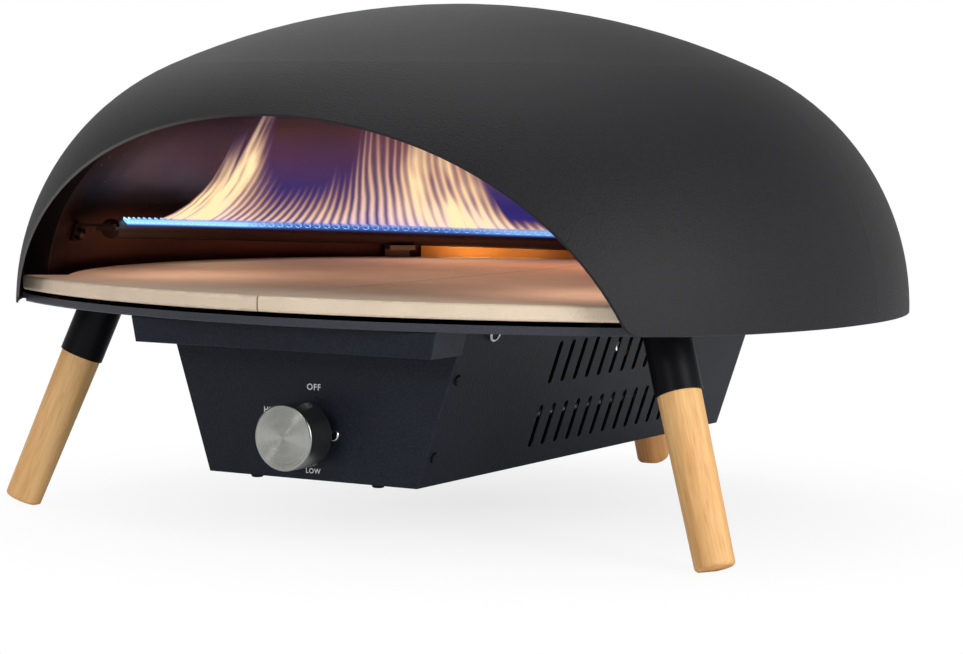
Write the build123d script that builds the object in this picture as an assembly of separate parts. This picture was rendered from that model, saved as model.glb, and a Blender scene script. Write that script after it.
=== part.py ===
from build123d import *
import math
import os

# Portable gas pizza oven, millimetres.
# While the pieces are made, the dome's axis is X = Y = 0 and the dome's rim is Z = 0.
# The mouth faces -Y, +X is to the right of someone who faces the mouth, and +Z is up.
# The export moves every piece by the same amount, so that the oven stands on Z = 0
# with the middle of its overall length and width over the origin.

# Stand and dome
RIM_HEIGHT = 160.0
SHELL_RADIUS = 340.0
SHELL_RISE = 228.2
CROWN_RADIUS = 542.9
SHELL_WALL = 1.6
MOUTH_SETBACK = 115.3
MOUTH_LEAN = 20.6
MOUTH_CORNER = 12.0

# Inner dome
LINER_AIR = 20.0
LINER_WALL = 1.0
LINER_SETBACK = 59.7
FLANGE_WALL = 1.2
FLANGE_GAP = 0.3

# Tray under the dome
TRAY_GAP = 4.4
TRAY_WALL = 1.5
TRAY_DROP = 1.3
TRAY_RIM = 4.6
TRAY_BEND = 1.2
TAB_WIDTH = 20.0
TAB_GAP = 0.15
TAB_ANGLES = (-30.0, 15.0, 60.0, 120.0, 165.0, 210.0)

# Baking stone in two halves
STONE_REAR_GAP = 4.0
STONE_SIDE_GAP = 0.3
STONE_APRON = 48.8
STONE_FRONT_ARC = 500.0
STONE_SHOULDER_GAP = 2.0
STONE_LIFT = 7.8
STONE_THICK = 11.0
STONE_EDGE = 2.4
STONE_CORNER = 2.6
STONE_SEAM_X = -5.0
STONE_SEAM_GAP = 0.6
STONE_SEAM_EDGE = 0.7
STONE_OVER_TRAY = 2.5
NOTCH_GAP = 2.0
RAIL_WIDTH = 12.0
RAIL_END_GAP = 23.9
RAIL_INNER_X = 70.0
RAIL_OUTER_X = 210.0

# Burner
RING_INSET = 19.0
RING_TUBE = 8.0
RING_WALL = 1.0
RING_HEIGHT = 47.4
RING_TILT = 2.5
RING_START = -20.9
RING_END = 200.9
PORT_DIAMETER = 2.5
PORT_PITCH = 9.0
PORT_FIRST_ANGLE = 5.8
PORT_LEAN_ANGLE = 45.0
CRIMP_LENGTH = 14.0
CRIMP_TAPER = 3.4
CRIMP_THICK = 3.0
FEED_RADIUS = 7.0
FEED_WALL = 1.0
FEED_BEND = 12.0
FEED_X = 45.0
FEED_ELBOW = 16.4
FEED_JOG = 100.0
FEED_GAP = 0.1
FEED_HOLE_GAP = 1.5
BELL_RADIUS = 14.0
BELL_LENGTH = 38.0
BELL_WALL = 1.0
BELL_AIR = 15.8
JET_RADIUS = 4.0
JET_LENGTH = 24.0
JET_BORE = 1.0
BRACKET_WIDTH = 22.0
BRACKET_THICK = 2.0
BRACKET_GAP = 0.1
BRACKET_STONE_GAP = 1.6
BRACKET_ANGLES = (45.0, 131.0)
STRAP_WIDTH = 10.0
STRAP_THICK = 2.0
STRAP_TAB = 14.0
STRAP_GAP = 0.6
STRAP_SCREW_HEAD = 4.8
STRAP_SCREW_THICK = 6.0
STRAP_OVER = 6.0
STRAP_RIVET = 2.5
STRAP_RIVET_THICK = 1.2

# Glowing plate, igniter and probe behind the stone
SHIELD_LINER_GAP = 2.7
SHIELD_WALL = 1.2
SHIELD_HEIGHT = 30.8
SHIELD_FROM_ANGLE = 53.0
SHIELD_TO_ANGLE = 127.0
IGNITER_X = -57.0
IGNITER_RADIUS = 3.0
IGNITER_BOTTOM = 24.5
IGNITER_LENGTH = 20.0
IGNITER_GAP = 0.3
PIN_RADIUS = 1.0
PIN_LENGTH = 9.0
PROBE_X = 57.0
PROBE_RADIUS = 2.4
PROBE_LENGTH = 22.0

# Control box
BOX_SETBACK = 11.7
BOX_REAR_GAP = 10.1
BOX_DEPTH = 114.2
BOX_TOP_HALF = 124.8
BOX_BOTTOM_HALF = 87.2
BOX_WALL = 1.2
BOX_EDGE = 0.9
SLOT_WIDTH = 6.0
SLOT_LENGTH = 32.0
SLOT_PITCH = 19.6
SLOT_FIRST_Y = -60.0
SLOT_COUNT = 12
SLOT_CUT_GAP = 9.0
SLOT_UPPER_DROP = 20.0
SLOT_LOWER_RISE = 14.2
SIDE_SCREW_INSET = 11.0
SIDE_SCREW_DROP = 38.0
SIDE_SCREW_RISE = 21.2
SIDE_SCREW_HEAD = 4.0
SIDE_SCREW_THICK = 1.6
BOTTOM_SCREW_INSET = 8.0
BOTTOM_SCREW_X = 51.0
BOTTOM_SCREW_HEAD = 4.5
BOTTOM_SCREW_THICK = 2.6
HOOK_INSET = 40.5
HOOK_DROP = 5.5
HOOK_RADIUS = 6.0
HOOK_WIRE = 1.1
HOOK_REACH = 2.4
HOOK_BALL = 1.9

# Hood over the control panel
HOOD_REACH = 42.3
HOOD_HEIGHT = 18.3
HOOD_TOP_HALF = 126.1
HOOD_BOTTOM_HALF = 122.2
HOOD_WALL = 1.2
HOOD_LIP = 8.0
HOOD_EDGE = 0.9

# Gas valve and knob
VALVE_RISE = 33.2
VALVE_WIDTH = 26.0
VALVE_HEIGHT = 30.0
VALVE_LENGTH = 44.0
VALVE_EAR_WIDTH = 56.0
VALVE_EAR_HEIGHT = 16.0
VALVE_EAR_THICK = 4.0
VALVE_SCREW_X = 19.5
VALVE_SCREW_SHANK = 2.4
VALVE_SCREW_HEAD = 4.5
VALVE_SCREW_THICK = 2.4
VALVE_BORE = 6.5
VALVE_BORE_END = 2.0
PLUNGER_CLEARANCE = 0.06
PLUNGER_LENGTH = 18.0
PLUNGER_INSET = 4.0
STEM_RADIUS = 4.0
STEM_CLEARANCE = 0.05
STEM_HOLE_GAP = 0.6
STEM_IN_KNOB = 20.0
STEM_BEYOND_PLUNGER = 3.0
PUSH_TRAVEL = 3.0
COLLAR_RADIUS = 14.0
COLLAR_THICK = 5.0
COLLAR_EDGE = 1.2
KNOB_RADIUS = 23.5
KNOB_LENGTH = 27.0
KNOB_COLLAR_GAP = 1.0
KNOB_EDGE = 1.2
KNOB_FACE_RADIUS = 22.0
KNOB_FACE_THICK = 1.0
KNOB_RECESS_RADIUS = 19.0
KNOB_RECESS_DEPTH = 6.0

# Gas inlet
INLET_X = 70.0
INLET_RADIUS = 3.0
INLET_WALL = 0.8
INLET_BEND = 14.0
INLET_GAP = 0.1
FITTING_HEX = 17.0
FITTING_HEX_LENGTH = 9.0
FITTING_THREAD = 6.6
FITTING_REACH = 22.0
FITTING_INSIDE = 12.0
FITTING_BORE = 3.4

# Legs
LEG_INSET = 57.4
LEG_SPLAY = 22.0
LEG_ANGLES = {"right": -30.0, "left": 210.0, "rear": 90.0}
SOCKET_RADIUS = 16.7
SOCKET_WALL = 1.2
SOCKET_END_DROP = 43.8
SOCKET_FLANGE = 27.0
SOCKET_FLANGE_THICK = 2.0
SOCKET_WEB = 3.0
WOOD_IN_SOCKET = 22.0
WOOD_CLEARANCE = 0.1
WOOD_END_RADIUS = 14.0
WOOD_EDGE = 3.0
WOOD_TRIM = 1.0
BOLT_RADIUS = 3.0
BOLT_IN_WOOD = 28.0
BOLT_NUT = 6.0
BOLT_NUT_THICK = 5.0
BOLT_CLEARANCE = 0.1
LEG_NOTCH_GAP = 3.0
FLANGE_SCREW_RADIUS = 22.5
FLANGE_SCREW_HEAD = 3.2
FLANGE_SCREW_THICK = 1.8

# Sizes that follow from those above
SHOULDER_RADIUS = (2 * CROWN_RADIUS * SHELL_RISE - SHELL_RISE ** 2 - SHELL_RADIUS ** 2) / (
    2 * (CROWN_RADIUS - SHELL_RADIUS)
)
MOUTH_Y = MOUTH_SETBACK - SHELL_RADIUS
LEAN = math.tan(math.radians(MOUTH_LEAN))
TRAY_UNDER = -TRAY_DROP
TRAY_FLOOR = TRAY_UNDER + TRAY_WALL
TRAY_RADIUS = SHELL_RADIUS - SHELL_WALL - TRAY_GAP
LINER_Y = MOUTH_Y + LINER_SETBACK
PIN_TOP = IGNITER_BOTTOM + IGNITER_LENGTH + PIN_LENGTH
LINER_BEND = SHOULDER_RADIUS - LINER_AIR - LINER_WALL
LINER_BY_PIN = SHELL_RADIUS - SHOULDER_RADIUS + math.sqrt(LINER_BEND ** 2 - PIN_TOP ** 2)
SHIELD_RADIUS = LINER_BY_PIN - SHIELD_LINER_GAP
STONE_REAR_RADIUS = SHIELD_RADIUS - STONE_REAR_GAP
STONE_FRONT_Y = MOUTH_Y - STONE_APRON
STONE_ARC_Y = STONE_FRONT_Y + STONE_FRONT_ARC
STONE_SHOULDER_Y = LINER_Y - STONE_SHOULDER_GAP
STONE_BOTTOM = TRAY_FLOOR + STONE_LIFT
STONE_TOP = STONE_BOTTOM + STONE_THICK
RING_RADIUS = STONE_REAR_RADIUS - RING_INSET
FEED_TOP_Y = math.sqrt(RING_RADIUS ** 2 - FEED_X ** 2)
FEED_Y = FEED_TOP_Y - FEED_ELBOW
BOX_FRONT_Y = MOUTH_Y + BOX_SETBACK
BOX_REAR_Y = FEED_Y + FEED_RADIUS + BOX_REAR_GAP
VALVE_Z = VALVE_RISE - BOX_DEPTH
PANEL_BACK = BOX_FRONT_Y + BOX_WALL
VALVE_FACE = PANEL_BACK + VALVE_EAR_THICK
VALVE_END = VALVE_FACE + VALVE_LENGTH
FEED_START_Y = VALVE_END + BELL_AIR + BELL_LENGTH
KNOB_BACK = BOX_FRONT_Y - COLLAR_THICK - PUSH_TRAVEL - KNOB_COLLAR_GAP
KNOB_FRONT = KNOB_BACK - KNOB_LENGTH
PLUNGER_START = VALVE_FACE + PLUNGER_INSET
PLUNGER_END = PLUNGER_START + PLUNGER_LENGTH
HOOD_FRONT_Y = BOX_FRONT_Y - HOOD_REACH
LEG_RADIUS_AT_RIM = TRAY_RADIUS - LEG_INSET
BAND = (Align.CENTER, Align.CENTER, Align.MIN)
REACH = 3.0 * SHELL_RADIUS


def prism_x(points, x0, x1):
    """Solid between two X values over a closed outline of (y, z) points."""
    line = Polyline(*[(x0, y, z) for y, z in points], close=True)
    return extrude(make_face(line), amount=x1 - x0, dir=(1, 0, 0))


def prism_y(points, y0, y1):
    """Solid between two Y values over a closed outline of (x, z) points."""
    line = Polyline(*[(x, y0, z) for x, z in points], close=True)
    return extrude(make_face(line), amount=y1 - y0, dir=(0, 1, 0))


def rod(start, direction, radius, length):
    """Solid round bar from a point along a direction."""
    plane = Plane(origin=start, z_dir=direction)
    return plane * Cylinder(radius, length, align=BAND)


def block(x0, x1, y0, y1, z0, z1):
    """Box between two corners."""
    middle = ((x0 + x1) / 2, (y0 + y1) / 2, (z0 + z1) / 2)
    return Pos(*middle) * Box(x1 - x0, y1 - y0, z1 - z0)


def polar(radius, angle, z=0.0):
    """Point at a radius and an azimuth in degrees about the dome's axis."""
    turn = math.radians(angle)
    return (radius * math.cos(turn), radius * math.sin(turn), z)


def ring_segment(inner, outer, z0, z1, start, end):
    """Rectangular band about the dome's axis between two azimuths."""
    line = Polyline((inner, 0, z0), (outer, 0, z0), (outer, 0, z1), (inner, 0, z1), close=True)
    return Rot(0, 0, start) * revolve(make_face(line), Axis.Z, end - start)


def dome(inset):
    """Solid dome of two tangent arcs, upright at its rim, this far inside the skin."""
    rise = SHELL_RISE - inset
    shoulder = SHOULDER_RADIUS - inset
    crown = CROWN_RADIUS - inset
    radius = SHELL_RADIUS - inset
    run = radius - shoulder
    turn = math.atan2(crown - rise, run)

    def on_shoulder(angle):
        return (run + shoulder * math.cos(angle), 0, shoulder * math.sin(angle))

    def on_crown(angle):
        return (crown * math.cos(angle), 0, rise - crown + crown * math.sin(angle))

    middle = (turn + math.pi / 2) / 2
    low = ThreePointArc(on_shoulder(0), on_shoulder(turn / 2), on_shoulder(turn))
    high = ThreePointArc(on_shoulder(turn), on_crown(middle), (0, 0, rise))
    axis = Line((0, 0, rise), (0, 0, 0))
    base = Line((0, 0, 0), (radius, 0, 0))
    return revolve(make_face(low + high + axis + base), Axis.Z, 360)


def dome_radius_at(z, wall):
    """Radius of the shell at a height above its rim, this far inside its skin."""
    run = SHELL_RADIUS - SHOULDER_RADIUS
    return run + math.sqrt((SHOULDER_RADIUS - wall) ** 2 - z ** 2)


def behind_plane(y_at_rim, z_low):
    """Everything behind a plane that leans forward like the mouth, above a height."""
    high = SHELL_RISE + LINER_AIR
    points = [
        (y_at_rim - LEAN * z_low, z_low),
        (REACH, z_low),
        (REACH, high),
        (y_at_rim - LEAN * high, high),
    ]
    return prism_x(points, -REACH, REACH)


def shell():
    skin = dome(0) - dome(SHELL_WALL)
    high = SHELL_RISE + LINER_AIR
    corners = [(MOUTH_Y, 0), (REACH, 0), (REACH, high), (MOUTH_Y - LEAN * high, high)]
    line = Polyline(*[(-REACH, y, z) for y, z in corners], close=True)
    face = make_face(line)
    low_front = face.vertices().sort_by(Axis.Z)[:2].sort_by(Axis.Y)[0]
    face = fillet(low_front, MOUTH_CORNER)
    return skin & extrude(face, amount=2 * REACH, dir=(1, 0, 0))


def liner():
    skin = dome(LINER_AIR) - dome(LINER_AIR + LINER_WALL)
    return skin & behind_plane(LINER_Y, TRAY_FLOOR)


def liner_flange():
    step = FLANGE_WALL / math.cos(math.radians(MOUTH_LEAN))
    low = TRAY_RIM + FLANGE_GAP
    slab = behind_plane(LINER_Y - step, low) - behind_plane(LINER_Y, low)
    return (dome(SHELL_WALL + FLANGE_GAP) - dome(LINER_AIR + LINER_WALL)) & slab


def tray_outline(inset, z0, z1):
    """Tray shape: the dome's circle cut in front by the stone's arc."""
    circle = Cylinder(TRAY_RADIUS - inset, z1 - z0, align=BAND)
    front = Cylinder(STONE_FRONT_ARC - STONE_OVER_TRAY - inset, z1 - z0, align=BAND)
    return Pos(0, 0, z0) * (circle & Pos(0, STONE_ARC_Y, 0) * front)


def base_tray():
    tray = tray_outline(0, TRAY_UNDER, TRAY_RIM)
    tray = fillet(tray.faces().sort_by(Axis.Z)[0].edges(), TRAY_BEND)
    tray -= tray_outline(TRAY_WALL, TRAY_FLOOR, TRAY_RIM + TRAY_WALL)
    hole = rod((FEED_X, FEED_Y, TRAY_UNDER - 1), (0, 0, 1), FEED_RADIUS + FEED_HOLE_GAP, TRAY_WALL + 2)
    return tray - hole


def shell_tabs():
    """Blocks that hold the dome off the tray's rim."""
    tabs = []
    outer = dome_radius_at(TRAY_RIM, SHELL_WALL) - TAB_GAP
    inner = TRAY_RADIUS + TAB_GAP
    half = math.degrees(TAB_WIDTH / 2 / TRAY_RADIUS)
    for angle in TAB_ANGLES:
        tabs.append(ring_segment(inner, outer, TRAY_FLOOR, TRAY_RIM, angle - half, angle + half))
    return Part() + tabs


def stone_corner(radius):
    """Where the stone's front arc meets a circle about the dome's axis."""
    arc = STONE_ARC_Y
    y = (radius ** 2 - STONE_FRONT_ARC ** 2 + arc ** 2) / (2 * arc)
    return math.sqrt(radius ** 2 - y ** 2), y


def whole_stone():
    x1, y1 = stone_corner(dome_radius_at(STONE_TOP, SHELL_WALL) - STONE_SIDE_GAP)
    y2 = STONE_SHOULDER_Y
    x2 = math.sqrt(STONE_REAR_RADIUS ** 2 - y2 ** 2)
    z = STONE_BOTTOM
    front = ThreePointArc((-x1, y1, z), (0, STONE_FRONT_Y, z), (x1, y1, z))
    right = Line((x1, y1, z), (x2, y2, z))
    rear = ThreePointArc((x2, y2, z), (0, STONE_REAR_RADIUS, z), (-x2, y2, z))
    left = Line((-x2, y2, z), (-x1, y1, z))
    stone = extrude(make_face(front + right + rear + left), amount=STONE_THICK, dir=(0, 0, 1))
    corners = stone.edges().filter_by(Axis.Z).sort_by(Axis.Y)[:2]
    stone = fillet(corners, STONE_CORNER)
    half = FEED_RADIUS + NOTCH_GAP
    y = FEED_Y - half
    stone -= block(FEED_X - half, FEED_X + half, y, REACH, STONE_BOTTOM - 1, STONE_TOP + 1)
    return fillet(stone.faces().filter_by(Plane.XY).edges(), STONE_EDGE)


def stone_half(side):
    edge = STONE_SEAM_X + side * STONE_SEAM_GAP / 2
    x0, x1 = sorted((edge, edge + side * REACH))
    half = whole_stone() & block(x0, x1, -REACH, REACH, STONE_BOTTOM - 1, STONE_TOP + 1)
    return half.cut(*seam_cutters(edge))


def seam_cutters(edge):
    """Square bars, set on edge, that take off the seam's upper and lower corners."""
    cutters = []
    for z in (STONE_BOTTOM, STONE_TOP):
        size = STONE_SEAM_EDGE
        points = [(edge - size, z), (edge, z + size), (edge + size, z), (edge, z - size)]
        cutters.append(prism_y(points, -REACH, REACH))
    return cutters


def stone_rails():
    """Strips on the tray that carry the stone."""
    rails = []
    outer = RAIL_OUTER_X + RAIL_WIDTH / 2
    y0 = RAIL_END_GAP - math.sqrt(STONE_REAR_RADIUS ** 2 - outer ** 2)
    for x in (RAIL_INNER_X, RAIL_OUTER_X):
        for side in (-1, 1):
            middle = side * x
            x0 = middle - RAIL_WIDTH / 2
            rails.append(block(x0, x0 + RAIL_WIDTH, y0, -y0, TRAY_FLOOR, STONE_BOTTOM))
    return Part() + rails


def ring_height(y):
    """Height of the burner tube's centre at a Y value."""
    return RING_HEIGHT - math.tan(math.radians(RING_TILT)) * y


def tilt(shape):
    """Lean a level ring shape to the burner's slope."""
    return Pos(0, 0, RING_HEIGHT) * Rot(-RING_TILT, 0, 0) * shape


def ring_tube(radius, start, end):
    circle = Plane.XZ * Pos(RING_RADIUS, 0) * Circle(radius)
    return Rot(0, 0, start) * revolve(circle, Axis.Z, end - start)


def crimp_cutters(end, side):
    """Wedges that leave a tube end pressed flat, level with its centre line."""
    start = end - side * crimp_angle()
    x, y, _ = polar(1.0, start)
    origin = (x * RING_RADIUS, y * RING_RADIUS, 0)
    plane = Plane(origin=origin, x_dir=(-y * side, x * side, 0), z_dir=(x * side, y * side, 0))
    low = CRIMP_THICK / 2
    length = 2 * CRIMP_LENGTH
    slope = [(0, RING_TUBE), (CRIMP_TAPER, low), (length, low)]
    points = slope + [(length, 2 * RING_TUBE), (0, 2 * RING_TUBE)]
    wedge = extrude(plane * make_face(Polyline(*points, close=True)), 2 * RING_TUBE, both=True)
    return [wedge, mirror(wedge, Plane.XY)]


def crimp_angle():
    return math.degrees(CRIMP_LENGTH / RING_RADIUS)


def burner_ring():
    crimp = crimp_angle()
    tube = ring_tube(RING_TUBE, RING_START, RING_END)
    tube -= ring_tube(RING_TUBE - RING_WALL, RING_START + crimp, RING_END - crimp)
    tube = tube.cut(*crimp_cutters(RING_END, 1), *crimp_cutters(RING_START, -1))
    lean = math.radians(PORT_LEAN_ANGLE)
    step = math.degrees(PORT_PITCH / (RING_RADIUS - RING_TUBE * math.cos(lean)))
    span = RING_END - RING_START - 2 * PORT_FIRST_ANGLE
    count = int(span / step) + 1
    bore = PORT_DIAMETER / 2
    inner = RING_TUBE - 3 * RING_WALL
    ports = []
    for index in range(count):
        angle = RING_END - PORT_FIRST_ANGLE - index * step
        x, y, _ = polar(1.0, angle)
        out = (-x * math.cos(lean), -y * math.cos(lean), math.sin(lean))
        base = RING_RADIUS - inner * math.cos(lean)
        start = (x * base, y * base, inner * math.sin(lean))
        ports.append(rod(start, out, bore, 4 * RING_WALL))
    return tilt(tube.cut(*ports))


def feed_path():
    height = ring_height(FEED_TOP_Y)
    return FilletPolyline(
        (0, FEED_START_Y, VALVE_Z),
        (0, FEED_JOG, VALVE_Z),
        (FEED_X, FEED_JOG + 2 * FEED_X, VALVE_Z),
        (FEED_X, FEED_Y, VALVE_Z),
        (FEED_X, FEED_Y, height - FEED_ELBOW),
        (FEED_X, FEED_TOP_Y, height),
        radius=FEED_BEND,
    )


def pipe(path, radius, wall):
    """Round tube along a path."""
    start = Plane(origin=path @ 0, z_dir=path % 0)
    outer = sweep(start * Circle(radius), path=path)
    inner = sweep(start * Circle(radius - wall), path=path)
    return outer - inner


def burner_feed():
    tube = pipe(feed_path(), FEED_RADIUS, FEED_WALL)
    return tube - tilt(ring_tube(RING_TUBE + FEED_GAP, RING_START, RING_END))


def mixer_bell():
    """Flared mouth on the feed tube, open to the air round the jet."""
    start = (0, FEED_START_Y, VALVE_Z)
    plane = Plane(origin=start, z_dir=(0, -1, 0))
    half = BELL_LENGTH / 2
    wide = Pos(0, 0, half) * Cone(FEED_RADIUS, BELL_RADIUS, half, align=BAND)
    inner = Pos(0, 0, half) * Cone(FEED_RADIUS - BELL_WALL, BELL_RADIUS - BELL_WALL, half, align=BAND)
    neck = Cylinder(FEED_RADIUS, half, align=BAND) - Cylinder(FEED_RADIUS - BELL_WALL, half, align=BAND)
    return plane * (neck + (wide - inner))


def gas_jet():
    body = rod((0, VALVE_END, VALVE_Z), (0, 1, 0), JET_RADIUS, JET_LENGTH)
    body = chamfer(body.edges().sort_by(Axis.Y)[-1], JET_RADIUS / 3)
    nut = Plane(origin=(0, VALVE_END, VALVE_Z), z_dir=(0, 1, 0))
    nut = extrude(nut * RegularPolygon(2 * JET_RADIUS, 6), JET_RADIUS)
    return body + nut - rod((0, VALVE_END, VALVE_Z), (0, 1, 0), JET_BORE, 2 * JET_LENGTH)


def burner_brackets():
    """Angle pieces from the tray to the underside of the burner tube."""
    inner = STONE_REAR_RADIUS + BRACKET_STONE_GAP
    brackets = []
    for angle in BRACKET_ANGLES:
        top = ring_height(RING_RADIUS * math.sin(math.radians(angle))) - RING_TUBE
        half = BRACKET_WIDTH / 2
        post = block(inner, inner + BRACKET_THICK, -half, half, TRAY_FLOOR, top)
        arm = block(RING_RADIUS - RING_TUBE, inner, -half, half, top - 2 * BRACKET_THICK, top)
        lip = block(inner, inner + 3 * BRACKET_THICK, -half, half, TRAY_FLOOR, TRAY_FLOOR + BRACKET_THICK)
        brackets.append(Rot(0, 0, angle) * (post + arm + lip))
    shape = Part() + brackets - tilt(ring_tube(RING_TUBE + BRACKET_GAP, RING_START, RING_END))
    return shape + [burner_strap(angle) for angle in strap_angles()]


def strap_angles():
    """Azimuths of the straps, on the burner's flat ends."""
    inset = math.degrees(STRAP_WIDTH / 2 / RING_RADIUS)
    return (RING_START + inset, RING_END - inset)


def strap_profile(angle):
    """Corners of a strap seen from its side, with heights from the burner's plane."""
    level = ring_height(RING_RADIUS * math.sin(math.radians(angle)))
    wall = LINER_AIR + LINER_WALL + STRAP_GAP
    seat = CRIMP_THICK / 2
    top = seat + STRAP_THICK
    low = top - STRAP_TAB
    x0 = RING_RADIUS - STRAP_OVER
    x1 = dome_radius_at(level + top, wall)
    x2 = dome_radius_at(level + low, wall)
    outside = [(x0, seat), (x0, top), (x1, top), (x2, low)]
    return outside + [(x2 - STRAP_THICK, low), (x1 - STRAP_THICK, seat)]


def burner_strap(angle):
    """Strip on the burner's flat end, bent down along the inner dome's side."""
    corners = strap_profile(angle)
    side = make_face(Polyline(*corners, close=True))
    strip = extrude(Plane.XZ * side, STRAP_WIDTH / 2, both=True)
    rivet = rod((RING_RADIUS, 0, corners[1][1]), (0, 0, 1), STRAP_RIVET, STRAP_RIVET_THICK)
    return tilt(Rot(0, 0, angle) * (strip + rivet))


def liner_screws():
    """Screws that hold the straps' tabs to the inner dome."""
    heads = []
    for angle in strap_angles():
        (x1, z1), (x2, z2) = strap_profile(angle)[-2:]
        middle = ((x1 + x2) / 2, 0, (z1 + z2) / 2)
        head = rod(middle, (z1 - z2, 0, x2 - x1), STRAP_SCREW_HEAD, STRAP_SCREW_THICK)
        tip = head.edges().sort_by(Axis.X)[0]
        heads.append(tilt(Rot(0, 0, angle) * chamfer(tip, STRAP_SCREW_THICK / 3)))
    return Part() + heads


def rear_shield():
    outer = SHIELD_RADIUS + SHIELD_WALL
    top = TRAY_FLOOR + SHIELD_HEIGHT
    return ring_segment(SHIELD_RADIUS, outer, TRAY_FLOOR, top, SHIELD_FROM_ANGLE, SHIELD_TO_ANGLE)


def igniter_centre(x, radius):
    """Place of an upright rod just in front of the glowing plate."""
    reach = SHIELD_RADIUS - IGNITER_GAP - radius
    return x, math.sqrt(reach ** 2 - x ** 2)


def igniter_ceramic():
    x, y = igniter_centre(IGNITER_X, IGNITER_RADIUS)
    body = rod((x, y, IGNITER_BOTTOM), (0, 0, 1), IGNITER_RADIUS, IGNITER_LENGTH)
    body = fillet(body.edges().sort_by(Axis.Z)[-1], IGNITER_RADIUS / 3)
    return body - rod((x, y, IGNITER_BOTTOM), (0, 0, 1), PIN_RADIUS, IGNITER_LENGTH)


def igniter_pin():
    x, y = igniter_centre(IGNITER_X, IGNITER_RADIUS)
    return rod((x, y, IGNITER_BOTTOM), (0, 0, 1), PIN_RADIUS, IGNITER_LENGTH + PIN_LENGTH)


def thermocouple():
    x, y = igniter_centre(PROBE_X, PROBE_RADIUS)
    body = rod((x, y, IGNITER_BOTTOM), (0, 0, 1), PROBE_RADIUS, PROBE_LENGTH)
    return fillet(body.edges().sort_by(Axis.Z)[-1], PROBE_RADIUS / 2)


def box_half_at(z):
    """Half width of the control box at a height."""
    share = (z + BOX_DEPTH) / (TRAY_UNDER + BOX_DEPTH)
    return BOX_BOTTOM_HALF + (BOX_TOP_HALF - BOX_BOTTOM_HALF) * share


def box_slope():
    """Angle of the box's sides from upright."""
    return math.atan2(BOX_TOP_HALF - BOX_BOTTOM_HALF, TRAY_UNDER + BOX_DEPTH)


def box_outline(inset):
    """Cross-section of the box, its sides moved in by a wall."""
    shift = inset / math.cos(box_slope())
    low = -BOX_DEPTH
    high = TRAY_UNDER
    wide = box_half_at(high) - shift
    narrow = box_half_at(low) - shift
    return [(-narrow, low), (narrow, low), (wide, high), (-wide, high)]


def box_front():
    panel = prism_y(box_outline(0), BOX_FRONT_Y, PANEL_BACK)
    outer = panel.faces().sort_by(Axis.Y)[0].edges().filter_by(Axis.X, reverse=True)
    panel = fillet(outer, BOX_EDGE)
    hole = rod((0, BOX_FRONT_Y - 1, VALVE_Z), (0, 1, 0), STEM_RADIUS + STEM_HOLE_GAP, BOX_WALL + 2)
    panel -= hole
    for side in (-1, 1):
        start = (side * VALVE_SCREW_X, BOX_FRONT_Y - 1, VALVE_Z)
        panel -= rod(start, (0, 1, 0), VALVE_SCREW_SHANK, BOX_WALL + 2)
    return panel


def slot_cutter(y, top):
    """Upright slot with round ends, cut sideways through a side panel."""
    radius = SLOT_WIDTH / 2
    z1 = -top - radius
    z0 = -top - SLOT_LENGTH + radius
    reach = BOX_TOP_HALF + SLOT_CUT_GAP
    bar = block(0, reach, y - radius, y + radius, z0, z1)
    ends = [rod((0, y, z), (1, 0, 0), radius, reach) for z in (z0, z1)]
    return bar + ends


def box_side_right():
    outer = box_outline(0)
    inner = box_outline(BOX_WALL)
    points = [inner[1], outer[1], outer[2], inner[2]]
    panel = prism_y(points, PANEL_BACK, BOX_REAR_Y - BOX_WALL)
    cutters = []
    for top in (SLOT_UPPER_DROP, BOX_DEPTH - SLOT_LOWER_RISE - SLOT_LENGTH):
        for index in range(SLOT_COUNT):
            cutters.append(slot_cutter(SLOT_FIRST_Y + index * SLOT_PITCH, top))
    return panel.cut(*cutters)


def box_side_left():
    return mirror(box_side_right(), Plane.YZ)


def box_bottom():
    inner = box_outline(BOX_WALL)
    wide = box_half_at(-BOX_DEPTH + BOX_WALL) - BOX_WALL / math.cos(box_slope())
    narrow = inner[1][0]
    low = -BOX_DEPTH
    high = low + BOX_WALL
    points = [(-narrow, low), (narrow, low), (wide, high), (-wide, high)]
    return prism_y(points, PANEL_BACK, BOX_REAR_Y - BOX_WALL)


def leg_axis(angle):
    """Direction down a leg."""
    splay = math.radians(LEG_SPLAY)
    x, y, _ = polar(math.sin(splay), angle)
    return (x, y, -math.cos(splay))


def leg_plane(angle):
    """Plane at the leg's centre line at rim height, looking down the leg."""
    return Plane(origin=polar(LEG_RADIUS_AT_RIM, angle), z_dir=leg_axis(angle))


def box_rear():
    panel = prism_y(box_outline(0), BOX_REAR_Y - BOX_WALL, BOX_REAR_Y)
    outer = panel.faces().sort_by(Axis.Y)[-1].edges().filter_by(Axis.X, reverse=True)
    panel = fillet(outer, BOX_EDGE)
    start = (INLET_X, BOX_REAR_Y - FITTING_INSIDE, VALVE_Z)
    panel -= rod(start, (0, 1, 0), FITTING_THREAD, 2 * FITTING_INSIDE)
    gap = SOCKET_RADIUS + LEG_NOTCH_GAP
    leg = leg_plane(LEG_ANGLES["rear"])
    above = leg * Pos(0, 0, -gap) * Cylinder(gap, 4 * gap, align=BAND)
    flange = SOCKET_FLANGE + LEG_NOTCH_GAP
    deep = SOCKET_FLANGE_THICK + LEG_NOTCH_GAP
    slot = block(-gap, gap, BOX_REAR_Y - 2 * BOX_WALL, BOX_REAR_Y + BOX_WALL, -gap, 0)
    rim = block(-flange, flange, BOX_REAR_Y - 2 * BOX_WALL, BOX_REAR_Y + BOX_WALL, TRAY_UNDER - deep, 0)
    return panel - above - slot - rim


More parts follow.
